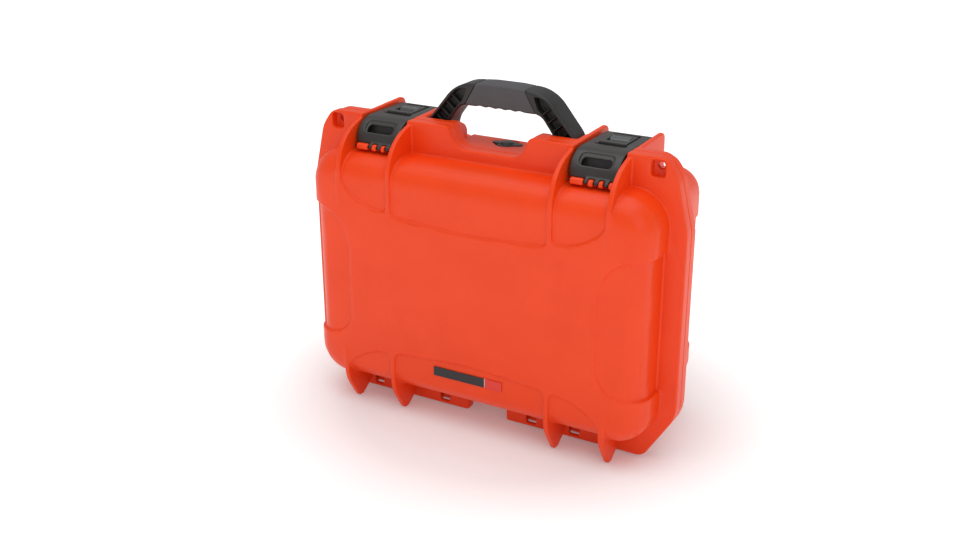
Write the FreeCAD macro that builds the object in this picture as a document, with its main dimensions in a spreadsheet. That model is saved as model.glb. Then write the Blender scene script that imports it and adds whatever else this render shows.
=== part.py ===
"""Hard equipment case: two ribbed trays, hinge, two latches, folding handle and pressure valve.

Working frame, in millimetres: X runs along the hinge, Y is the depth with the parting plane at
Y = 0 and the lid on the negative side, and Z is up with the rib tips on Z = 0. Every sub-part is
then shifted along Y, so that the finished case has its origin at the bottom centre of its box.
"""

import FreeCAD
import Part
import os
import re

import Sketcher
from FreeCAD import Placement, Rotation, Vector

SIZES = {
    # trays: outer skin, interior and draft
    "lid_half_width": 184,
    "lid_side_recess": 4,
    "base_half_width": 180.8,
    "base_side_recess": 2,
    "skin_half_height": 122,
    "middle_height": 147,
    "lid_corner": 34,
    "base_corner": 26.5,
    "room_half_width": 175.5,
    "room_half_height": 117.2,
    "recess_depth": 2,
    "lid_depth": 51.5,
    "lid_room_depth": 46.3,
    "lid_draft": 3,
    "lid_edge_round": 24,
    "base_depth": 115.5,
    "base_room_depth": 109.5,
    "base_draft": 5.5,
    "base_edge_round": 24,
    # parting flange
    "flange_depth": 11,
    "flange_half_width": 200,
    "flange_foot": 3,
    "flange_hem": 19,
    "flange_top": 297.5,
    "ear_top": 298,
    "lid_ear_round": 14,
    "base_ear_round": 20,
    "latch_bay_height": 272.5,
    "cutout_floor": 277.5,
    "notch_half_width": 22,
    # ribs
    "inner_rib": 86,
    "outer_rib": 142.5,
    "rib_thickness": 5,
    "rib_front": 52.3,
    "rib_top": 299.5,
    "rib_back": 67.5,
    # seal
    "groove_gap": 2,
    "groove_width": 4,
    "groove_depth": 4,
    "gasket_thickness": 2.2,
    "seal_corner": 20,
    "bead_width": 2,
    "bead_height": 1.5,
    # hinge
    "hinge_height": 10,
    "hinge_barrel": 5.4,
    "hinge_pin": 2,
    "hinge_play": 0.08,
    "hinge_start": 24,
    "hinge_end": 157,
    "knuckle_half": 7,
    "knuckle_gap": 0.5,
    "plate_thickness": 4.4,
    "window_half": 5.5,
    # padlock holes
    "padlock_place": 169.6,
    "padlock_height": 288.6,
    "padlock_radius": 3.3,
    "padlock_plate": 3,
    # latches
    "latch_centre": 114.5,
    "latch_half_width": 23.5,
    "latch_wall": 4,
    "latch_top": 296,
    "latch_front": 26.5,
    "latch_sweep": 26,
    "latch_back": 59,
    "latch_hem": 274,
    "latch_axis_depth": 28.4,
    "latch_axis_height": 271.2,
    "latch_knuckle": 3.1,
    "latch_finger": 2.2,
    "latch_pin": 1.15,
    "latch_play": 0.06,
    # slide locks
    "slide_half_width": 13,
    "slide_front": 13,
    "slide_back": 46,
    "slide_travel": 6,
    "slide_gap": 0.3,
    # handle
    "handle_middle": 25,
    "handle_half_depth": 13,
    "handle_half_width": 80.5,
    "handle_top": 336.5,
    "handle_foot_inner": 58,
    "handle_underside": 313.5,
    "handle_axis_height": 285,
    "handle_pin": 2.5,
    "handle_play": 0.06,
    "grip_skin": 3.2,
    # pressure valve
    "valve_depth": 29,
    "valve_seat": 273.5,
    "valve_thread": 7,
    # badge
    "badge_half_width": 38,
    "badge_low": 56,
    "badge_high": 65.5,
    # feet on the back
    "foot_back": 121.5,
}

SIDES = {"left": -1, "right": 1}
HINGE_KNUCKLES = (50, 97, 131)
LATCH_KNUCKLES = ((-19.9, -6.8), (-2.4, 2.8), (8, 12.5), (17.7, 22.2))
LEG_SLOPE = 40
LEG_WALLS = 4
GRIP_SCALLOPS = 5

doc = FreeCAD.newDocument("EquipmentCase")


# ---------------------------------------------------------------- sheet and expressions

def make_sheet():
    sheet = doc.addObject("Spreadsheet::Sheet", "Sizes")
    for row, (alias, number) in enumerate(SIZES.items(), start=1):
        sheet.set("A%d" % row, alias)
        sheet.set("B%d" % row, str(number))
        sheet.setAlias("B%d" % row, alias)
    doc.recompute()
    return sheet


sizes = make_sheet()


def bound(text):
    """Write the sheet's name before each alias in an expression."""
    def named(word):
        return "Sizes." + word.group() if word.group() in SIZES else word.group()
    return re.sub(r"[a-z_]+", named, str(text))


def value(text):
    """The number that an expression of aliases has now."""
    return float(sizes.evalExpression(bound(text)))


def minus(text):
    return "-(%s)" % text


# ---------------------------------------------------------------- sketches and features

def new_body(name):
    return doc.addObject("PartDesign::Body", name)


def sketch_on(owner, name, role, start):
    """An empty sketch on one of the body's origin planes, moved along its normal."""
    plane = next(item for item in owner.Origin.OriginFeatures if item.Role == role)
    sketch = owner.newObject("Sketcher::SketchObject", name)
    sketch.AttachmentSupport = [(plane, "")]
    sketch.MapMode = "FlatFace"
    sketch.setExpression("AttachmentOffset.Base.z", bound(start))
    return sketch


def constrain(sketch, kind, where, text):
    index = sketch.addConstraint(Sketcher.Constraint(kind, *where, value(text)))
    sketch.setExpression("Constraints[%d]" % index, bound(text))


def polygon_sketch(owner, name, role, corners, start):
    sketch = sketch_on(owner, name, role, start)
    points = [Vector(value(corner[0]), value(corner[1]), 0) for corner in corners]
    count = len(points)
    for index in range(count):
        sketch.addGeometry(Part.LineSegment(points[index], points[(index + 1) % count]))
    for index in range(count):
        sketch.addConstraint(Sketcher.Constraint("Coincident", index, 2, (index + 1) % count, 1))
    for index, corner in enumerate(corners):
        constrain(sketch, "DistanceX", (-1, 1, index, 1), corner[0])
        constrain(sketch, "DistanceY", (-1, 1, index, 1), corner[1])
    return sketch


def circle_sketch(owner, name, role, centre, radius, start):
    sketch = sketch_on(owner, name, role, start)
    middle = Vector(value(centre[0]), value(centre[1]), 0)
    sketch.addGeometry(Part.Circle(middle, Vector(0, 0, 1), value(radius)))
    constrain(sketch, "DistanceX", (-1, 1, 0, 3), centre[0])
    constrain(sketch, "DistanceY", (-1, 1, 0, 3), centre[1])
    constrain(sketch, "Radius", (0,), radius)
    return sketch


def pad(owner, sketch, length, draft="0", away=False):
    feature = owner.newObject("PartDesign::Pad", sketch.Name + "Pad")
    feature.Profile = sketch
    feature.setExpression("Length", bound(length))
    feature.setExpression("TaperAngle", bound(minus(draft)))
    feature.Reversed = away
    doc.recompute()
    return feature


def round_edges(owner, radius, chosen_by):
    """Fillet the tip's edges for which chosen_by is true."""
    base = owner.Tip
    names = ["Edge%d" % (index + 1) for index, edge in enumerate(base.Shape.Edges) if chosen_by(edge)]
    feature = owner.newObject("PartDesign::Fillet", base.Name + "Round")
    feature.Base = (base, names)
    feature.setExpression("Radius", bound(radius))
    doc.recompute()
    return feature


def rises_from(corner_point, normal):
    """A test for the edge that leaves a sketch corner along the pad."""
    def test(edge):
        ends = [vertex.Point for vertex in edge.Vertexes]
        if len(ends) != 2 or min(end.distanceToPoint(corner_point) for end in ends) > 0.01:
            return False
        return abs((ends[1] - ends[0]).normalize().dot(normal)) > 0.5
    return test


def prism(name, role, corners, start, length, draft="0", away=False):
    """Pad a polygon, and round the corners that carry a radius as their third entry."""
    owner = new_body(name)
    sketch = polygon_sketch(owner, name + "Outline", role, corners, start)
    pad(owner, sketch, length, draft, away)
    normal = sketch.Placement.Rotation.multVec(Vector(0, 0, 1))
    radii = sorted({corner[2] for corner in corners if len(corner) > 2}, key=value)
    for radius in radii:
        spots = [
            rises_from(sketch.Placement.multVec(Vector(value(corner[0]), value(corner[1]), 0)), normal)
            for corner in corners if len(corner) > 2 and corner[2] == radius
        ]
        round_edges(owner, radius, lambda edge: any(spot(edge) for spot in spots))
    return owner


def slab(name, corners, near, far):
    """A prism of an XZ outline between two depths, near being the lower Y."""
    return prism(name, "XZ_Plane", corners, minus(far), "(%s) - (%s)" % (far, near))


def profile(name, corners, left, right):
    """A prism of a YZ outline between two places along X."""
    return prism(name, "YZ_Plane", corners, left, "(%s) - (%s)" % (right, left))


def rod(name, role, centre, radius, start, length):
    owner = new_body(name)
    sketch = circle_sketch(owner, name + "Circle", role, centre, radius, start)
    pad(owner, sketch, length)
    return owner


def mirrored(points):
    """A half outline, from the bottom middle round to the top middle, closed by its mirror image."""
    return list(points) + [(minus(point[0]), *point[1:]) for point in reversed(points)]


def rectangle(left, right, low, high, radius=None):
    corners = [(left, low), (right, low), (right, high), (left, high)]
    return [(*corner, radius) for corner in corners] if radius else corners


# ---------------------------------------------------------------- booleans

def fuse(name, parts):
    result = doc.addObject("Part::MultiFuse", name)
    result.Shapes = parts
    doc.recompute()
    return result


def cut(name, base, tools):
    result = doc.addObject("Part::Cut", name)
    result.Base = base
    result.Tool = tools[0] if len(tools) == 1 else fuse(name + "Tools", tools)
    doc.recompute()
    return result


def common(name, first, second):
    result = doc.addObject("Part::Common", name)
    result.Base = first
    result.Tool = second
    doc.recompute()
    return result


parts = []


def sub_part(item, label, side=None):
    """Name a finished sub-part and shift it to the case's own origin."""
    item.Label = label
    item.setExpression("Placement.Base.y", bound("(rib_front - foot_back) / 2"))
    if side:
        item.setExpression("Placement.Base.x", bound("%d * latch_centre" % side))
    parts.append(item)


# ---------------------------------------------------------------- trays

def tray(name, half_width, half_height, corner, depth, draft, edge_round, away):
    """A drafted block with rounded corners and a rounded far edge."""
    low = "middle_height - (%s)" % half_height
    high = "middle_height + %s" % half_height
    owner = prism(name, "XZ_Plane", rectangle(minus(half_width), half_width, low, high, corner),
                  "0", depth, draft, away)
    far = value(depth) if away else -value(depth)
    round_edges(owner, edge_round, lambda edge: all(abs(end.Point.y - far) < 0.01 for end in edge.Vertexes))
    return owner


def recess_outlines():
    """The stepped-down fields of both trays, as XZ outlines."""
    rib_inside = "inner_rib - rib_thickness / 2"
    rib_outside = "inner_rib + rib_thickness / 2"
    bay_end = "outer_rib - rib_thickness / 2"
    outlines = {
        "TopField": [(minus(rib_inside), 290), (minus(rib_inside), 213, 6), (0, 207.5, 400),
                     (rib_inside, 213, 6), (rib_inside, 290)],
        "BottomField": [(minus(rib_inside), 0), (rib_inside, 0), (rib_inside, 68.5, 8),
                        (0, 75, 300), (minus(rib_inside), 68.5, 8)],
    }
    for name, side in SIDES.items():
        def place(text):
            return "%d * (%s)" % (side, text)
        outlines[name + "SideField"] = [
            (place("230"), 77), (place("134"), 77, 28), (place("134"), 213, 42), (place("230"), 213)]
        outlines[name + "LatchField"] = [
            (place(rib_outside), 290), (place(rib_outside), 215.5, 6), (place("118"), 219, 60),
            (place(bay_end), 237, 18), (place(bay_end), 290)]
        outlines[name + "HingeField"] = [
            (place(rib_outside), 0), (place(rib_outside), 68, 6), (place("118"), 64, 60),
            (place(bay_end), 45, 18), (place(bay_end), 0)]
    return outlines


def stepped_skin(name, half_width, side_recess, corner, depth, draft, edge_round, away, fields):
    """The outer form: a full skin outside the fields, and a lower one everywhere."""
    full = tray(name + "Full", half_width, "skin_half_height", corner,
                depth, draft, edge_round, away)
    low = tray(name + "Low", "%s - %s" % (half_width, side_recess), "skin_half_height - recess_depth",
               corner + " - recess_depth", depth + " - recess_depth", draft,
               edge_round + " - recess_depth", away)
    raised = cut(name + "Raised", full, fields)
    return fuse(name + "Skin", [low, raised])


def upper_flange_outline(ear_round):
    """The right half of the flange above its side corner, up to the handle cutout."""
    bay_start = "inner_rib + rib_thickness / 2"
    bay_end = "outer_rib - rib_thickness / 2"
    return [
        ("flange_half_width", 232, 40), (188.5, 281, 30), (176.5, "ear_top", ear_round), (bay_end, "ear_top"),
        (bay_end, "latch_bay_height"), (bay_start, "latch_bay_height"), (bay_start, "flange_top"),
        (43.5, "flange_top", 5), (34, "cutout_floor", 14)]


def rib_places():
    return {name + kind: "%d * %s" % (side, alias)
            for name, side in SIDES.items()
            for kind, alias in (("Inner", "inner_rib"), ("Outer", "outer_rib"))}


def ribs(name, corners):
    """The same YZ profile at each of the four rib places."""
    return [
        profile(name + key, corners, place + " - rib_thickness / 2", place + " + rib_thickness / 2")
        for key, place in rib_places().items()]


def ring(name, gap, width, near, far):
    """A rounded rectangular ring that follows the opening at a gap."""
    def outline(offset):
        grown = "room_half_height + " + offset
        return rectangle(minus("room_half_width + " + offset), "room_half_width + " + offset,
                         "middle_height - (%s)" % grown, "middle_height + " + grown, "seal_corner")
    inside = slab(name + "Inside", outline(gap), near, far)
    outside = slab(name + "Outside", outline("%s + %s" % (gap, width)), near, far)
    return cut(name, outside, [inside])


def padlock_cutters():
    """The two holes, and the pockets before and behind them that leave a thin plate in each flange."""
    cutters = []
    for name, side in SIDES.items():
        place = "%d * padlock_place" % side
        cutters.append(rod(name + "PadlockHole", "XZ_Plane", (place, "padlock_height"),
                           "padlock_radius", "-flange_depth - 1", "2 * flange_depth + 2"))
        outline = rectangle(place + " - 6.6", place + " + 6.6", 280, 295, 3)
        cutters.append(slab(name + "FrontPocket", outline, "-flange_depth - 1", "-padlock_plate"))
        cutters.append(slab(name + "BackPocket", outline, "padlock_plate", "flange_depth + 1"))
    return cutters


def hinge_knuckle_places():
    return {"%s%d" % (name, number): side * place
            for name, side in SIDES.items()
            for number, place in enumerate(HINGE_KNUCKLES)}


def hinge_rods(name, radius):
    """A rod along the hinge axis on each side of the notch."""
    centre = (0, "hinge_height")
    return [
        rod(name + "Left", "YZ_Plane", centre, radius, "-hinge_end", "hinge_end - hinge_start"),
        rod(name + "Right", "YZ_Plane", centre, radius, "hinge_start", "hinge_end - hinge_start")]


# ---------------------------------------------------------------- lid shell

def latch_pivot_profile():
    """A rounded tooth about the latch axis, held from behind and undercut, as a YZ outline."""
    front = minus("latch_axis_depth + latch_knuckle")
    back = minus("latch_axis_depth - latch_knuckle")
    low, top = "latch_axis_height - latch_knuckle", "latch_axis_height + latch_knuckle"
    web = "latch_axis_height + 0.6"
    return [(front, low, 1.5), (-21, low), (-21, 258), (-15, 258), (-15, web), (back, web), (back, top, 2.4),
            (front, top, "latch_knuckle - 0.05")]


def lid_latch_knuckles():
    pieces = []
    for name, side in SIDES.items():
        for number, (start, end) in enumerate(LATCH_KNUCKLES):
            centre = "%d * latch_centre" % side
            pieces.append(profile("%sLatchKnuckle%d" % (name, number), latch_pivot_profile(),
                                  "%s + %s" % (centre, start), "%s + %s" % (centre, end)))
    return pieces


def lid_hinge_cutters():
    """Room for the base's knuckles behind the hinge plate, and the plate's square windows."""
    cutters = []
    for name, place in hinge_knuckle_places().items():
        reach = "(knuckle_half + knuckle_gap)"
        gap = rectangle("%s - %s" % (place, reach), "%s + %s" % (place, reach), 0, "hinge_height + 6.6")
        cutters.append(slab(name + "KnuckleGap", gap, "plate_thickness - flange_depth", "9"))
        window = rectangle("%s - window_half" % place, "%s + window_half" % place, 6.5, 15.5, 1)
        cutters.append(slab(name + "PlateWindow", window,
                            "-flange_depth - 1", "plate_thickness - flange_depth + 1"))
    return cutters


def make_lid_shell(fields):
    skin = stepped_skin("Lid", "lid_half_width", "lid_side_recess", "lid_corner",
                        "lid_depth", "lid_draft", "lid_edge_round", False, fields)
    lower = [
        ("notch_half_width", "flange_hem", 3), ("notch_half_width", "flange_foot", 2),
        (169, "flange_foot", 12), ("flange_half_width", 52, 40)]
    flange = slab("LidFlange", mirrored(lower + upper_flange_outline("lid_ear_round")), "-flange_depth", "0")
    top_ribs = ribs("LidTopRib", [
        (-5, 250), (-46, 207), (-51.4, 209), (minus("rib_front"), 219),
        (minus("rib_front"), 281.5, 45), (0, "flange_top"), (0, 250)])
    fins = ribs("LidFin", [
        (-30, 75), (-51.4, 70), (minus("rib_front"), 58), (minus("rib_front"), 28, 38),
        (-34, 0, 5), (-27.5, 0, 3), (-13, 9, 8), (-9, 30), (-9, 75)])
    barrels = hinge_rods("LidHingeBarrel", "hinge_barrel")
    solid = fuse("LidSolid", [skin, flange] + top_ribs + fins + barrels + lid_latch_knuckles())
    room = tray("LidRoom", "room_half_width", "room_half_height", "lid_corner - 8",
                "lid_room_depth", "lid_draft", "lid_edge_round - 5", False)
    groove = ring("SealGroove", "groove_gap", "groove_width", "-groove_depth", "1")
    latch_bores = [
        rod(name + "LidLatchBore", "YZ_Plane", ("-latch_axis_depth", "latch_axis_height"), "latch_pin",
            "%d * latch_centre - 22.5" % side, "45")
        for name, side in SIDES.items()]
    cutters = [room, groove] + padlock_cutters() + lid_hinge_cutters() + latch_bores
    cutters += hinge_rods("LidHingeBore", "hinge_pin + hinge_play")
    sub_part(cut("LidShell", solid, cutters), "lid_shell")


# ---------------------------------------------------------------- base shell

def base_hinge_knuckles():
    pieces = []
    for name, place in hinge_knuckle_places().items():
        start = "%s - knuckle_half" % place
        pieces.append(rod(name + "Knuckle", "YZ_Plane", (0, "hinge_height"), "hinge_barrel",
                          start, "2 * knuckle_half"))
        web = [(0, "hinge_height"), (3, "hinge_height - 2"), (8, "hinge_height - 2"),
               (9, "flange_hem + 2"), (0, "flange_hem + 2")]
        pieces.append(profile(name + "KnuckleWeb", web, start, "%s + knuckle_half" % place))
    return pieces


def handle_cheeks():
    """A thin wall outside each handle leg and a thick one inside it, which carry its pin."""
    end = "handle_middle + 12.5"
    outer_outline = [(0, 258), (end, 258), (end, "flange_top", 12), (0, "flange_top")]
    inner_outline = [(0, 258), (30, 258), (30, 286, 4), (26, 291.5, 5), (14, "flange_top"), (0, "flange_top")]
    pieces = []
    for name, side in SIDES.items():
        for kind, outline, near, far in (("Inner", inner_outline, 44.5, 53.5),
                                         ("Outer", outer_outline, 81.3, 84.5)):
            left, right = sorted((side * near, side * far))
            pieces.append(profile(name + kind + "Cheek", outline, left, right))
    return pieces


def latch_keepers():
    outline = [(38, 250), (50, 250), (50, 270), (53, 272), (53, 275.4, 1), (43.5, 275.4, 2), (38, 266)]
    return [
        profile(name + "Keeper", outline, "%d * latch_centre - 17" % side, "%d * latch_centre + 17" % side)
        for name, side in SIDES.items()]


def back_feet():
    feet = []
    for side_name, side in SIDES.items():
        for end_name, end in (("Low", -1), ("High", 1)):
            left, right = sorted((side * 112, side * 148))
            low, high = sorted((end * 66, end * 84))
            outline = rectangle(left, right, "middle_height + %s" % low, "middle_height + %s" % high, 8)
            foot = slab(side_name + end_name + "Foot", outline, "base_depth - 8", "foot_back")
            feet.append(foot)
    return feet


def make_base_shell(fields):
    skin = stepped_skin("Base", "base_half_width", "base_side_recess", "base_corner",
                        "base_depth", "base_draft", "base_edge_round", True, fields)
    lower = [("notch_half_width", "flange_hem"), (179, "flange_hem", 10), ("flange_half_width", 52, 40)]
    flange = slab("BaseFlange", mirrored(lower + upper_flange_outline("base_ear_round")), "0", "flange_depth")
    top_ribs = ribs("BaseTopRib", [
        (0, 245), (74, 245), ("rib_back", 272, 12), ("rib_back", "rib_top", 7), (0, "flange_top")])
    feet_ribs = ribs("BaseFin", [
        (13, 45), (13, 10, 5), (23, 0, 8), (62, 0, 8), (74, 30), (80, 50)])
    platform = profile("ValvePlatform", [(0, 258), (46, 258), (46, "cutout_floor", 4), (0, "cutout_floor")],
                       -46, 46)
    bead = ring("SealBead", "groove_gap + (groove_width - bead_width) / 2", "bead_width", "-bead_height", "1")
    solid = fuse("BaseSolid", [skin, flange, platform, bead] + top_ribs + feet_ribs + base_hinge_knuckles()
                 + handle_cheeks() + latch_keepers() + back_feet())
    room = tray("BaseRoom", "room_half_width", "room_half_height", "base_corner - 6",
                "base_room_depth", "base_draft", "base_edge_round - 6", True)
    ceiling = "valve_seat - 3"
    valve_room = profile("ValveRoom", [(6, 240), (41.5, 240), (41.5, ceiling, 2), (6, ceiling, 2)],
                         -36, 36)
    valve_hole = rod("ValveHole", "XY_Plane", (0, "valve_depth"), "valve_thread", 250, 40)
    valve_pocket = rod("ValvePocket", "XY_Plane", (0, "valve_depth"), 11.7, "valve_seat", 10)
    wing_pocket = prism("ValveWingPocket", "XY_Plane",
                        rectangle(-16.6, 16.6, "valve_depth - 5.2", "valve_depth + 5.2", 5.1),
                        "valve_seat + 2.6", "10")
    pin_holes = [
        rod(name + "HandlePinHole", "YZ_Plane", ("handle_middle", "handle_axis_height"), "handle_pin",
            min(side * 48.5, side * 86), "37.5")
        for name, side in SIDES.items()]
    cutters = [room, valve_room, valve_hole, valve_pocket, wing_pocket] + pin_holes + padlock_cutters()
    cutters += hinge_rods("BaseHingeBore", "hinge_pin")
    sub_part(cut("BaseShell", solid, cutters), "base_shell")


# ---------------------------------------------------------------- seal and hinge pins

def make_gasket():
    gasket = ring("Gasket", "groove_gap + 0.1", "groove_width - 0.2", "-groove_depth",
                  "gasket_thickness - groove_depth")
    sub_part(gasket, "lid_gasket")


def make_hinge_pins():
    for pin, label in zip(hinge_rods("HingePin", "hinge_pin"), ("left_hinge_pin", "right_hinge_pin")):
        sub_part(pin, label)


# ---------------------------------------------------------------- latches

def window_cutter(name, angle, height, depth, half_width, corner):
    """A rounded window standing on the lever's curved front at an angle from the vertical."""
    owner = prism(name, "XY_Plane", rectangle(-half_width, half_width, -height / 2, height / 2, corner),
                  minus(depth), "%s + 4" % depth)
    owner.Placement.Rotation = Rotation(Vector(1, 0, 0), angle)
    reach = "latch_sweep * %s(%d deg)"
    owner.setExpression("Placement.Base.y", bound("latch_sweep - latch_front - " + reach % ("sin", angle)))
    owner.setExpression("Placement.Base.z", bound("latch_top - latch_sweep + " + reach % ("cos", angle)))
    return owner


def make_latch_lever(name, side):
    """A curved cover, hollow below, with fingers on the pin and a claw at the far end."""
    front = minus("latch_front")
    curved = profile(name + "LeverCurve", [
        (front, 264), (-16, 264), (-16, "latch_hem"), (54, "latch_hem"), (55, 276), ("latch_back", 276),
        ("latch_back", "latch_top", 5), (front, "latch_top", "latch_sweep")],
        "-latch_half_width", "latch_half_width")
    plan = prism(name + "LeverPlan", "XY_Plane", [
        ("-latch_half_width", front, 4), ("latch_half_width", front, 4),
        ("latch_half_width", "latch_back"), ("-latch_half_width", "latch_back")], "latch_hem - 0.8", "30")
    outer = common(name + "LeverOuter", curved, plan)
    inside = "latch_half_width - latch_wall"
    hollow = profile(name + "LeverHollow", [
        ("latch_wall - latch_front", 262), (55, 262), (55, "latch_top - latch_wall", 2),
        ("latch_wall - latch_front", "latch_top - latch_wall", "latch_sweep - latch_wall")],
        minus(inside), inside)
    first, last = LATCH_KNUCKLES[0][1] + 0.4, LATCH_KNUCKLES[-1][0] - 0.4
    barrel = rod(name + "LeverBarrel", "YZ_Plane", ("-latch_axis_depth", "latch_axis_height"), "latch_finger",
                 first, last - first)
    finger_front = "-latch_axis_depth - latch_finger / 2"
    fingers = profile(name + "LeverFingers", [
        (finger_front, "latch_axis_height"), (-26.2, "latch_axis_height"),
        (-24, "latch_axis_height + 1.8"), (-24, 276), (-26, 276),
        (finger_front, "latch_axis_height + 2")], first, last)
    well = profile(name + "FingerWell", [(-7, 293), (-9, 293), (-13, 277), (-11, 277)],
                   "1 - latch_half_width", "latch_half_width - 1")
    reach = "latch_knuckle + 0.4"
    ahead, behind = minus("latch_axis_depth + " + reach), minus("latch_axis_depth - (%s)" % reach)
    top = "latch_axis_height + " + reach
    clearance = [(ahead, 258), (behind, 258), (behind, top, 3.4), (ahead, top, 3.4)]
    gaps = [
        profile("%sLeverGap%d" % (name, number), clearance, start - 0.4, end + 0.4)
        for number, (start, end) in enumerate(LATCH_KNUCKLES)]
    bore = rod(name + "LeverBore", "YZ_Plane", ("-latch_axis_depth", "latch_axis_height"),
               "latch_pin + latch_play", "-latch_half_width - 1", "2 * latch_half_width + 2")
    recess = window_cutter(name + "FingerRecess", 41, 14, 2, 16.2, 4.5)
    slot = window_cutter(name + "FingerSlot", 46.5, 9, 8, 14.2, 3.2)
    slide_gap = "(slide_half_width + slide_gap)"
    slide_way = prism(name + "SlideWay", "XY_Plane",
                      rectangle(minus(slide_gap), slide_gap, "slide_front - slide_gap",
                                "slide_back + slide_travel + slide_gap"), 288, "12")
    notch = prism(name + "SlideNotch", "XY_Plane",
                  rectangle(-15.8, 15.8, "slide_front - 2.2", "slide_front + 1.2", 0.8), "latch_top - 2", "4")
    cover = cut(name + "LeverCover", outer, [hollow, recess, slot, slide_way, notch])
    joined = fuse(name + "LeverJoined", [cover, barrel, fingers, well])
    sub_part(cut(name + "Lever", joined, [bore] + gaps), name + "_latch_lever", side)


def make_latch_pin(name, side):
    pin = rod(name + "LatchPin", "YZ_Plane", ("-latch_axis_depth", "latch_axis_height"), "latch_pin",
              -22, "44")
    sub_part(pin, name + "_latch_pin", side)


def make_slide_lock(name, side):
    """A framed slide, held from below by a wider plate, with a finger lip in front."""
    under = "latch_top - latch_wall - slide_gap"
    body_outline = rectangle(minus("slide_half_width"), "slide_half_width", "slide_front", "slide_back", 1.2)
    block = prism(name + "SlideBlock", "XY_Plane", body_outline,
                  "%s - 2" % under, "2 + slide_gap + latch_wall + 0.8")
    plate = prism(name + "SlidePlate", "XY_Plane",
                  rectangle("-slide_half_width - 3", "slide_half_width + 3", "slide_front", "slide_back"),
                  "%s - 2" % under, "2")
    lip = prism(name + "SlideLip", "XY_Plane",
                rectangle("0.6 - slide_half_width", "slide_half_width - 0.6",
                          "slide_front + 0.4", "slide_front + 3.6", 1),
                "latch_top", "1.9")
    window = prism(name + "SlideWindow", "XY_Plane", rectangle(-10, 10, 23, 40, 0.25), 280, "30")
    solid = fuse(name + "SlideSolid", [block, plate, lip])
    sub_part(cut(name + "Slide", solid, [window]), name + "_slide_lock", side)


def make_slide_insert(name, side):
    insert = profile(name + "Insert", [
        (30.5, 289.7), (40, 289.7), (40, 297.2, 1.5), (30.5, 297.2, 4.5)], -9.7, 9.7)
    sub_part(insert, name + "_slide_insert", side)


# ---------------------------------------------------------------- handle

def handle_arch():
    """The whole arch of legs and grip, with rounded outline edges."""
    inner = [("handle_foot_inner", 268), ("handle_foot_inner", 285, 20), (55, 297, 18),
             (42.5, "handle_underside", 13)]
    outer = [(14, "handle_top"), (47.5, "handle_top - 2.5", 38), ("handle_half_width", 293.5, 26),
             ("handle_half_width", 268)]
    left_inner = [(minus(corner[0]), *corner[1:]) for corner in reversed(inner)]
    left_outer = [(minus(corner[0]), *corner[1:]) for corner in reversed(outer)]
    arch = prism("HandleArch", "XZ_Plane", inner + left_inner + left_outer + outer,
                 minus("handle_middle + handle_half_depth"), "2 * handle_half_depth")
    faces = [value("handle_middle - handle_half_depth"), value("handle_middle + handle_half_depth")]

    def on_rim(edge):
        ends = [vertex.Point for vertex in edge.Vertexes]
        flat = any(all(abs(end.y - face) < 0.01 for end in ends) for face in faces)
        return flat and max(end.z for end in ends) > 269
    round_edges(arch, "2.6", on_rim)
    feet = profile("HandleFeet", [
        ("handle_middle - handle_half_depth", 272.5, 12), ("handle_middle + handle_half_depth", 272.5, 12),
        ("handle_middle + handle_half_depth", 345), ("handle_middle - handle_half_depth", 345)],
        "-handle_half_width - 2", "handle_half_width + 2")
    return common("HandleForm", arch, feet)


def leg_cells():
    """Pockets in the front and back of the legs, divided by cross walls that stop short of the face."""
    corners = [(60.3, 287.5), (78.1, 287.5), (78.1, 291.8), (47, 328.9, 15), (36, 330), (40.5, 318.4),
               (44.4, 315), (57.2, 298.5)]
    cells = []
    for face, near, far, wall_near, wall_far in (
            ("Front", "handle_middle - handle_half_depth - 1", "handle_middle - 4",
             "handle_middle - handle_half_depth + 2.6", "handle_middle"),
            ("Back", "handle_middle + 4", "handle_middle + handle_half_depth + 1",
             "handle_middle", "handle_middle + handle_half_depth - 2.6")):
        for name, side in SIDES.items():
            outline = [(side * corner[0], *corner[1:]) for corner in corners]
            pocket = slab(name + face + "Cell", outline, near, far)
            walls = []
            for number in range(LEG_WALLS):
                wall = slab("%s%sCellWall%d" % (name, face, number), rectangle(-20, 20, -0.8, 0.8),
                            wall_near, wall_far)
                wall.Placement = Placement(Vector(side * (50 + 6 * number), 0, 319 - 7 * number),
                                           Rotation(Vector(0, 1, 0), -side * LEG_SLOPE))
                walls.append(wall)
            cells.append(cut(name + face + "Cells", pocket, walls))
    return cells


def make_handle():
    form = handle_arch()
    zone_half = [(39, 305), (38, 314), (27, 333), (25, 340)]
    zone_outline = zone_half + [(minus(corner[0]), corner[1]) for corner in reversed(zone_half)]
    zone = slab("GripZone", zone_outline, "handle_middle - 20", "handle_middle + 20")
    core = slab("GripCore",
                rectangle(-39, 39, "handle_underside + grip_skin", "handle_top - 1 - grip_skin", 3),
                "handle_middle - handle_half_depth + grip_skin",
                "handle_middle + handle_half_depth - grip_skin")
    scallops = []
    for number in range(GRIP_SCALLOPS):
        centre = ((number - (GRIP_SCALLOPS - 1) / 2) * 10.6, "handle_underside - 6.8")
        scallops.append(rod("GripScallop%d" % number, "XZ_Plane", centre,
                            "8", minus("handle_middle + 20"), "40"))
    grip = cut("Grip", common("GripForm", form, zone), [core] + scallops)
    sub_part(grip, "handle_grip")
    legs = cut("HandleLegs", form, [zone])
    framed = fuse("HandleFramed", [legs, common("HandleCore", form, core)])
    bores = [
        rod(name + "LegBore", "YZ_Plane", ("handle_middle", "handle_axis_height"), "handle_pin + handle_play",
            min(side * 56, side * 88), "32")
        for name, side in SIDES.items()]
    sub_part(cut("HandleFrame", framed, bores + leg_cells()), "handle_frame")
    for name, side in SIDES.items():
        pin = rod(name + "HandlePin", "YZ_Plane", ("handle_middle", "handle_axis_height"), "handle_pin",
                  min(side * 49, side * 85.8), "36.8")
        sub_part(pin, name + "_handle_pin")


# ---------------------------------------------------------------- pressure valve

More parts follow.
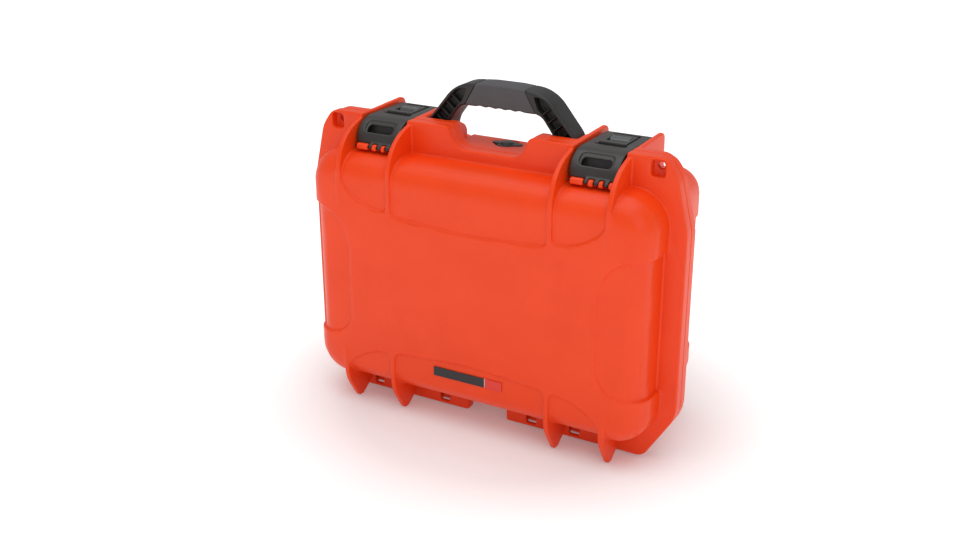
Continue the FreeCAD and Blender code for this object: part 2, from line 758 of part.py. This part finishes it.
def turned(name, outline):
    """A body of revolution about the valve's upright axis; the outline is radius and height."""
    owner = new_body(name)
    sketch = polygon_sketch(owner, name + "Section", "XZ_Plane", outline, "-valve_depth")
    feature = owner.newObject("PartDesign::Revolution", name + "Turn")
    feature.Profile = sketch
    feature.ReferenceAxis = (sketch, ["V_Axis"])
    feature.Angle = 360
    doc.recompute()
    return owner


def above_seat(radius, rise):
    return radius, "valve_seat + %s" % rise


def make_valve():
    body = turned("ValveBody", [
        (3, "valve_seat - 9"), ("valve_thread", "valve_seat - 9"), ("valve_thread", "valve_seat"),
        (8, "valve_seat"), above_seat(8, 1.4), above_seat(10.3, 1.4), (10.3, "valve_seat"),
        (11.3, "valve_seat"), above_seat(11.3, 2), above_seat(10.9, 2.7), above_seat(5.5, 2.7),
        above_seat(5.5, 1.8), above_seat(3, 1.8)])
    sub_part(body, "valve_body")
    sub_part(turned("ValveSeal", [(8.2, "valve_seat"), (10.1, "valve_seat"), above_seat(10.1, 1.3),
                                  above_seat(8.2, 1.3)]), "valve_seal")
    sub_part(turned("ValveMembrane", [above_seat(0, 1.8), above_seat(5.3, 1.8), above_seat(5.3, 2.2),
                                      above_seat(0, 2.2)]), "valve_membrane")
    dome = turned("ValveDome", [above_seat(0, 2.7), above_seat(10.7, 2.7), above_seat(10.7, 3.5),
                                above_seat(7.4, 3.9), above_seat(6.4, 5.7), above_seat(0, 6.1)])
    wings = prism("ValveWings", "XY_Plane",
                  rectangle(-15.8, 15.8, "valve_depth - 4.4", "valve_depth + 4.4", 4.3),
                  "valve_seat + 2.7", "1.8")
    sub_part(fuse("ValveCap", [dome, wings]), "valve_cap")
    nut_points = [("11 * cos(%d deg)" % angle, "valve_depth + 11 * sin(%d deg)" % angle)
                  for angle in range(0, 360, 60)]
    nut = prism("ValveNutHex", "XY_Plane", nut_points, "valve_seat - 7.5", "4.5")
    hole = rod("ValveNutHole", "XY_Plane", (0, "valve_depth"), "valve_thread", 250, "40")
    sub_part(cut("ValveNut", nut, [hole]), "valve_nut")


# ---------------------------------------------------------------- badge

def make_badge():
    """A backing plate under a wide dark face and a short accent face, both blank."""
    skin = "recess_depth - lid_depth"
    inset = rectangle("0.6 - badge_half_width", "badge_half_width - 0.6",
                      "badge_low + 0.4", "badge_high - 0.4", 0.5)
    backing = slab("BadgeBacking", inset, "%s - 0.5" % skin, skin)
    sub_part(backing, "badge_backing")
    for name, label, left, right in (("BadgeFace", "badge_face", "-badge_half_width", "18.6"),
                                     ("BadgeAccent", "badge_accent", "19.6", "badge_half_width")):
        face = slab(name, rectangle(left, right, "badge_low", "badge_high", 0.4),
                    "%s - 1" % skin, "%s - 0.5" % skin)
        sub_part(face, label)


# ---------------------------------------------------------------- the case

def check(item):
    states = {"Invalid", "Error"}
    if states & set(item.State):
        raise RuntimeError("%s failed: %s" % (item.Name, item.State))


def main():
    fields = [slab(name, outline, "-70", "130") for name, outline in recess_outlines().items()]
    make_lid_shell(fields)
    make_base_shell(fields)
    make_gasket()
    make_hinge_pins()
    for name, side in SIDES.items():
        make_latch_lever(name, side)
        make_latch_pin(name, side)
        make_slide_lock(name, side)
        make_slide_insert(name, side)
    make_handle()
    make_valve()
    make_badge()
    doc.recompute()
    for item in doc.Objects:
        check(item)
    os.makedirs("parts", exist_ok=True)
    for item in parts:
        shape = item.Shape
        if shape.isNull() or not shape.isValid():
            raise RuntimeError("%s has no valid shape" % item.Label)
        shape.exportStep("parts/%s.step" % item.Label)
        print("%-20s solids %d volume %10.1f" % (item.Label, len(shape.Solids), shape.Volume))


main()
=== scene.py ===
"""Looks of the hard equipment case: moulded shells, latches, handle, valve and badge in a pale studio."""
import math

import bpy
import numpy as np
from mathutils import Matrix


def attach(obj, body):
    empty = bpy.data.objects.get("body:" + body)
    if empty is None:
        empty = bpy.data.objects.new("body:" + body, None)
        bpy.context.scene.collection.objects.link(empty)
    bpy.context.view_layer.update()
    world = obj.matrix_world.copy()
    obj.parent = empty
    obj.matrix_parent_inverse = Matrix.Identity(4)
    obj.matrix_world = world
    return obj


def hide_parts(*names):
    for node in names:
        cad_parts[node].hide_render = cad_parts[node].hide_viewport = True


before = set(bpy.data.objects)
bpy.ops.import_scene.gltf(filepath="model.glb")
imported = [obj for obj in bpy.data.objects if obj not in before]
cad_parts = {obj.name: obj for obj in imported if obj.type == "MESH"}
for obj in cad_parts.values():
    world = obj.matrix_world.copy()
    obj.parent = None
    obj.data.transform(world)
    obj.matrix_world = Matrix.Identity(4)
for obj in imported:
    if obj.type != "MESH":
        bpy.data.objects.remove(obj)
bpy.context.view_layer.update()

import openvdb
from mathutils import Euler, Vector

MM = 0.001
BLUR_REACH = 2.5          # half-width of the blur's window, in standard deviations
MESH_ADAPTIVITY = 0.05    # how far flat parts of a moulded mesh are thinned out, 0 to 1
CALM_ROUNDS = 6           # rounds of averaging that hide the flat facets
CALM_ANGLE = 9            # degrees; normals that turn by more than this keep their edge
COARSENESS = 1.0


# ---------------------------------------------------------------- moulded meshes

def triangles_of(node):
    """The corner points and the triangles of a CAD node."""
    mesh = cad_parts[node].data
    mesh.calc_loop_triangles()
    points = np.empty(len(mesh.vertices) * 3, np.float32)
    mesh.vertices.foreach_get("co", points)
    corners = np.empty(len(mesh.loop_triangles) * 3, np.int32)
    mesh.loop_triangles.foreach_get("vertices", corners)
    return points.reshape(-1, 3), corners.reshape(-1, 3)


def distance_field(node, voxel, margin):
    """Signed distances to the node's surface on a dense grid, in voxels, and the grid's first corner."""
    points, corners = triangles_of(node)
    grid = openvdb.FloatGrid.createLevelSetFromPolygons(
        (points / voxel).astype(np.float32), triangles=corners.astype(np.uint32),
        transform=openvdb.createLinearTransform(1.0), halfWidth=float(margin))
    low = np.floor(points.min(0) / voxel).astype(int) - margin - 2
    high = np.ceil(points.max(0) / voxel).astype(int) + margin + 2
    field = np.empty(tuple(high - low + 1), np.float32)
    grid.copyToArray(field, ijk=tuple(int(number) for number in low))
    return field, low


def blur(field, sigma):
    """A Gaussian blur along each axis in turn, which rounds every edge of the zero surface."""
    reach = int(math.ceil(BLUR_REACH * sigma))
    steps = np.arange(-reach, reach + 1)
    weights = np.exp(-0.5 * (steps / sigma) ** 2)
    weights = (weights / weights.sum()).astype(np.float32)
    for axis in range(3):
        padding = [(reach, reach) if number == axis else (0, 0) for number in range(3)]
        padded = np.pad(field, padding, mode="edge")
        result = np.zeros_like(field)
        for step, weight in zip(steps, weights):
            window = [slice(None)] * 3
            window[axis] = slice(reach + step, reach + step + field.shape[axis])
            result += weight * padded[tuple(window)]
        field = result
    return field


def sample(field, places):
    """Trilinear values of the field at places given in voxels from its first corner."""
    base = np.clip(np.floor(places).astype(int), 0, np.array(field.shape) - 2)
    part = places - base
    total = np.zeros(len(places), np.float32)
    for corner in range(8):
        offset = np.array([(corner >> axis) & 1 for axis in range(3)])
        weight = np.prod(np.where(offset == 1, part, 1 - part), axis=1)
        spot = base + offset
        total += (weight * field[spot[:, 0], spot[:, 1], spot[:, 2]]).astype(np.float32)
    return total


def slope(field, places, reach=0.75):
    """Unit gradients of the field, which are the surface's outward directions; reach is in voxels."""
    result = np.empty_like(places)
    for axis in range(3):
        step = np.zeros(3)
        step[axis] = reach
        result[:, axis] = sample(field, places + step) - sample(field, places - step)
    return result / np.maximum(np.linalg.norm(result, axis=1, keepdims=True), 1e-9)


def calm(normals, faces):
    """Average each normal with neighbours that turn by less than CALM_ANGLE, which hides flat facets."""
    edges = np.vstack([faces[:, [0, 1]], faces[:, [1, 2]], faces[:, [2, 3]], faces[:, [3, 0]]])
    edges = edges[edges[:, 0] != edges[:, 1]]
    least = math.cos(math.radians(CALM_ANGLE))
    for _ in range(CALM_ROUNDS):
        alike = np.einsum("ij,ij->i", normals[edges[:, 0]], normals[edges[:, 1]]) > least
        near = edges[alike]
        total = normals * 1.0
        for axis in range(3):
            total[:, axis] += np.bincount(near[:, 0], normals[near[:, 1], axis], len(normals))
            total[:, axis] += np.bincount(near[:, 1], normals[near[:, 0], axis], len(normals))
        normals = total / np.maximum(np.linalg.norm(total, axis=1, keepdims=True), 1e-9)
    return normals


def moulded(node, body, material, voxel_mm, softness_mm):
    """Replace a CAD node by the same form with softly rounded edges, as it leaves a mould."""
    voxel = voxel_mm * MM * COARSENESS
    sigma = softness_mm * MM / voxel
    margin = int(math.ceil(BLUR_REACH * sigma)) + 1
    field, low = distance_field(node, voxel, margin)
    field = blur(field, sigma)
    grid = openvdb.FloatGrid(float(margin))
    grid.copyFromArray(field, tolerance=0.0)
    points, triangles, quads = grid.convertToPolygons(isovalue=0.0, adaptivity=MESH_ADAPTIVITY)
    directions = slope(field, points.astype(np.float64))
    faces = np.vstack([quads, np.column_stack([triangles, triangles[:, 2]])]).astype(np.int64)
    directions = calm(directions, faces)
    places = (points + low) * voxel
    polygons = quads.tolist() + triangles.tolist()
    mesh = bpy.data.meshes.new(node + "_moulded")
    mesh.from_pydata(places.tolist(), [], polygons)
    mesh.polygons.foreach_set("use_smooth", np.ones(len(mesh.polygons), bool))
    mesh.materials.append(material)
    mesh.update()
    mesh.normals_split_custom_set_from_vertices(directions.tolist())
    piece = bpy.data.objects.new(node + "_moulded", mesh)
    bpy.context.scene.collection.objects.link(piece)
    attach(piece, body)
    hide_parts(node)


# ---------------------------------------------------------------- materials

class Shader:
    """A principled material with helpers for its procedural inputs."""

    def __init__(self, name):
        self.material = bpy.data.materials.new(name)
        self.material.use_nodes = True
        self.tree = self.material.node_tree
        self.surface = self.tree.nodes["Principled BSDF"]
        self.place = self.tree.nodes.new("ShaderNodeTexCoord").outputs["Object"]

    def set(self, **numbers):
        """Plain values on the surface's sockets, by the socket's name with _ for each space."""
        for name, number in numbers.items():
            self.surface.inputs[name.replace("_", " ")].default_value = number
        return self

    def noise(self, scale, detail=2.0, roughness=0.5):
        node = self.tree.nodes.new("ShaderNodeTexNoise")
        node.inputs["Scale"].default_value = scale
        node.inputs["Detail"].default_value = detail
        node.inputs["Roughness"].default_value = roughness
        self.tree.links.new(self.place, node.inputs["Vector"])
        return node.outputs["Fac"]

    def ramp(self, source, dark, light):
        """A colour that goes from dark to light over the middle of the source's range."""
        node = self.tree.nodes.new("ShaderNodeValToRGB")
        for element, position, color in zip(node.color_ramp.elements, (0.3, 0.7), (dark, light)):
            element.position = position
            element.color = (*color, 1)
        self.tree.links.new(source, node.inputs["Fac"])
        return node.outputs["Color"]

    def span(self, source, low, high):
        """The source's values, 0 to 1, spread from low to high."""
        node = self.tree.nodes.new("ShaderNodeMapRange")
        node.inputs["To Min"].default_value = low
        node.inputs["To Max"].default_value = high
        self.tree.links.new(source, node.inputs["Value"])
        return node.outputs["Result"]

    def glow_outwards(self, near, far):
        """Emission that grows with the distance from the origin; each end is (distance, strength)."""
        length = self.tree.nodes.new("ShaderNodeVectorMath")
        length.operation = "LENGTH"
        self.tree.links.new(self.place, length.inputs[0])
        node = self.tree.nodes.new("ShaderNodeMapRange")
        for name, number in zip(("From Min", "To Min", "From Max", "To Max"), near + far):
            node.inputs[name].default_value = number
        self.tree.links.new(length.outputs["Value"], node.inputs["Value"])
        self.tree.links.new(node.outputs["Result"], self.surface.inputs["Emission Strength"])

    def color(self, source):
        self.tree.links.new(source, self.surface.inputs["Base Color"])

    def roughness(self, source):
        self.tree.links.new(source, self.surface.inputs["Roughness"])

    def bump(self, layers):
        """Stack of (height source, strength, distance in metres)."""
        normal = None
        for source, strength, distance in layers:
            node = self.tree.nodes.new("ShaderNodeBump")
            node.inputs["Strength"].default_value = strength
            node.inputs["Distance"].default_value = distance
            self.tree.links.new(source, node.inputs["Height"])
            if normal is not None:
                self.tree.links.new(normal, node.inputs["Normal"])
            normal = node.outputs["Normal"]
        self.tree.links.new(normal, self.surface.inputs["Normal"])


def plastic(name, dark, light, rough, grain=1400.0, depth=0.05, specular=0.5):
    """Moulded plastic: slight cloudiness in the colour, uneven sheen and a fine spark-eroded grain."""
    cloud_scale = 28.0
    sheen_scale = 3.1 * cloud_scale
    wave_scale = 9.0
    shader = Shader(name).set(Specular_IOR_Level=specular)
    shader.color(shader.ramp(shader.noise(cloud_scale, 4.0, 0.6), dark, light))
    shader.roughness(shader.span(shader.noise(sheen_scale, 3.0), *rough))
    grain_layer = (shader.noise(grain, 2.0), depth, 0.2 * MM)
    wave_layer = (shader.noise(wave_scale, 1.0), 0.05, 0.6 * MM)
    shader.bump([grain_layer, wave_layer])
    return shader.material


def steel(name, dark, light, rough):
    """Turned steel: fine rings round the pin, which lies along X, and an uneven polish."""
    shader = Shader(name).set(Metallic=1.0)
    stretch = shader.tree.nodes.new("ShaderNodeMapping")
    stretch.inputs["Scale"].default_value = (20.0, 1.0, 1.0)
    shader.tree.links.new(shader.place, stretch.inputs["Vector"])
    shader.place = stretch.outputs["Vector"]
    shader.color(shader.ramp(shader.noise(300.0, 3.0), dark, light))
    shader.roughness(shader.span(shader.noise(900.0, 2.0), *rough))
    shader.bump([(shader.noise(1600.0, 2.0), 0.10, 0.1 * MM)])
    return shader.material


def make_materials():
    return {
        "shell": plastic(
            "shell_orange", dark=(0.80, 0.049, 0.003), light=(0.84, 0.056, 0.005),
            rough=(0.34, 0.44), specular=0.3),
        "latch": plastic(
            "latch_black", dark=(0.020, 0.018, 0.017), light=(0.028, 0.025, 0.024),
            rough=(0.34, 0.46), grain=1800.0, depth=0.10),
        "handle": plastic(
            "handle_black", dark=(0.010, 0.009, 0.009), light=(0.016, 0.014, 0.013),
            rough=(0.40, 0.55), grain=1500.0, depth=0.30),
        "grip": plastic(
            "grip_grey", dark=(0.062, 0.058, 0.062), light=(0.076, 0.071, 0.076),
            rough=(0.52, 0.66), grain=2200.0, depth=0.16, specular=0.4),
        "insert": plastic(
            "insert_grey", dark=(0.055, 0.06, 0.064), light=(0.08, 0.085, 0.09),
            rough=(0.08, 0.14), grain=900.0, depth=0.02),
        "valve": plastic(
            "valve_black", dark=(0.016, 0.015, 0.014), light=(0.026, 0.023, 0.022),
            rough=(0.34, 0.46), grain=1800.0, depth=0.12),
        "badge_light": plastic(
            "badge_light", dark=(0.66, 0.65, 0.64), light=(0.74, 0.73, 0.72),
            rough=(0.22, 0.30), grain=900.0, depth=0.02),
        "badge_dark": plastic(
            "badge_dark", dark=(0.008, 0.0055, 0.0065), light=(0.013, 0.009, 0.0105),
            rough=(0.34, 0.44), grain=900.0, depth=0.02),
        "badge_red": plastic(
            "badge_red", dark=(0.66, 0.022, 0.012), light=(0.74, 0.03, 0.016),
            rough=(0.30, 0.40), grain=900.0, depth=0.02),
        "rubber": plastic(
            "seal_rubber", dark=(0.012, 0.012, 0.012), light=(0.020, 0.020, 0.020),
            rough=(0.60, 0.75), grain=1100.0, depth=0.20),
        "felt": plastic(
            "membrane_felt", dark=(0.62, 0.62, 0.60), light=(0.74, 0.74, 0.72),
            rough=(0.85, 0.95), grain=2600.0, depth=0.60, specular=0.2),
        "steel": steel(
            "pin_steel", dark=(0.46, 0.46, 0.47), light=(0.62, 0.62, 0.63), rough=(0.22, 0.40)),
        "dark_steel": steel(
            "pin_dark", dark=(0.030, 0.030, 0.032), light=(0.050, 0.050, 0.052), rough=(0.35, 0.50)),
    }


# ---------------------------------------------------------------- studio

def make_floor():
    """White paper that glows, a painted light: weakly near the case, which paints the shade round it, and
    strongly further out so that it fades to pure white.
    """
    reach = 40.0
    corners = [(-reach, -reach, 0), (reach, -reach, 0), (reach, reach, 0), (-reach, reach, 0)]
    mesh = bpy.data.meshes.new("studio_floor")
    mesh.from_pydata(corners, [], [(0, 1, 2, 3)])
    floor = bpy.data.objects.new("studio_floor", mesh)
    bpy.context.scene.collection.objects.link(floor)
    shader = Shader("studio_paper").set(Roughness=0.9, Specular_IOR_Level=0.1, Emission_Color=(1, 1, 1, 1))
    shader.color(shader.ramp(shader.noise(3.0, 2.0), (0.79, 0.79, 0.79), (0.81, 0.81, 0.81)))
    # painted light: the floor's own glow is weak close to the case, painting the shade around it, and
    # strong further out, painting a pure white backdrop
    shader.glow_outwards(near=(0.16, 0.13), far=(0.36, 0.60))
    mesh.materials.append(shader.material)


def softbox(name, place, aim, size, power):
    """A white square light at place, turned towards aim; sizes in metres, power in watts."""
    lamp = bpy.data.lights.new(name, "AREA")
    lamp.shape = "RECTANGLE"
    lamp.size = size
    lamp.size_y = size
    lamp.energy = power
    light = bpy.data.objects.new(name, lamp)
    light.location = place
    light.rotation_euler = (Vector(aim) - Vector(place)).to_track_quat("-Z", "Y").to_euler()
    bpy.context.scene.collection.objects.link(light)


def make_lights():
    world = bpy.data.worlds.new("studio_world")
    bpy.context.scene.world = world
    world.use_nodes = True
    background = world.node_tree.nodes["Background"]
    background.inputs["Color"].default_value = (1.0, 1.0, 1.0, 1)
    background.inputs["Strength"].default_value = 0.505
    aim = (0, 0, 0.15)
    softbox("overhead_softbox", (0.0, -0.3, 2.2), aim, size=2.4, power=28)
    softbox("side_softbox", (1.9, -1.7, 1.3), aim, size=1.2, power=8)


def make_camera():
    """A long lens to the right of the case and above it, aimed near the middle of the parting plane."""
    azimuth, elevation, distance = math.radians(29.4), math.radians(21.84), 1.1805
    parting_plane = -34.6 * MM
    middle_height = 150 * MM
    forward = Vector((-math.sin(azimuth) * math.cos(elevation), math.cos(azimuth) * math.cos(elevation),
                      -math.sin(elevation)))
    right = Vector((math.cos(azimuth), math.sin(azimuth), 0))
    up = right.cross(forward)
    aim = Vector((0, parting_plane, middle_height)) - right * 3.5 * MM + up * 1.7 * MM
    camera = bpy.data.objects.new("studio_camera", bpy.data.cameras.new("studio_camera"))
    camera.data.lens = 44.49
    camera.data.sensor_width = 36
    camera.location = aim - forward * distance
    camera.rotation_euler = Euler((math.pi / 2 - elevation, 0, azimuth))
    bpy.context.scene.collection.objects.link(camera)
    bpy.context.scene.camera = camera
    bpy.context.scene.view_settings.view_transform = "Standard"


# ---------------------------------------------------------------- the case

def dress(node, material, bevel=0.0):
    """A CAD node that stays, with its own material and small rounded edges."""
    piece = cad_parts[node]
    piece.data.materials.clear()
    piece.data.materials.append(material)
    if bevel:
        modifier = piece.modifiers.new("soft_edges", "BEVEL")
        modifier.width = bevel
        modifier.segments = 3
        modifier.limit_method = "ANGLE"


def make_shells(look):
    moulded("lid_shell", "lid", look["shell"], 0.75, 0.65)
    moulded("base_shell", "base", look["shell"], 0.85, 0.7)
    dress("lid_gasket", look["rubber"], 0.5 * MM)


def make_latch(side, look):
    """The lever with its sliding lock, and the pins of the same side."""
    moulded(side + "_latch_lever", side + "_latch", look["latch"], 0.4, 0.5)
    moulded(side + "_slide_lock", side + "_slide", look["latch"], 0.3, 0.28)
    moulded(side + "_slide_insert", side + "_slide", look["insert"], 0.25, 0.3)
    dress(side + "_latch_pin", look["dark_steel"], 0.2 * MM)
    dress(side + "_hinge_pin", look["steel"], 0.2 * MM)
    dress(side + "_handle_pin", look["steel"], 0.2 * MM)


def make_handle(look):
    moulded("handle_frame", "handle", look["handle"], 0.5, 0.55)
    moulded("handle_grip", "handle", look["grip"], 0.45, 0.6)


def make_valve(look):
    moulded("valve_cap", "base", look["valve"], 0.3, 0.35)
    dress("valve_body", look["valve"], 0.2 * MM)
    dress("valve_nut", look["valve"], 0.3 * MM)
    dress("valve_seal", look["rubber"], 0.3 * MM)
    dress("valve_membrane", look["felt"])


def make_badge(look):
    dress("badge_backing", look["badge_light"], 0.12 * MM)
    dress("badge_face", look["badge_dark"], 0.12 * MM)
    dress("badge_accent", look["badge_red"], 0.12 * MM)


materials = make_materials()
make_shells(materials)
for case_side in ("left", "right"):
    make_latch(case_side, materials)
make_handle(materials)
make_valve(materials)
make_badge(materials)
make_floor()
make_lights()
make_camera()
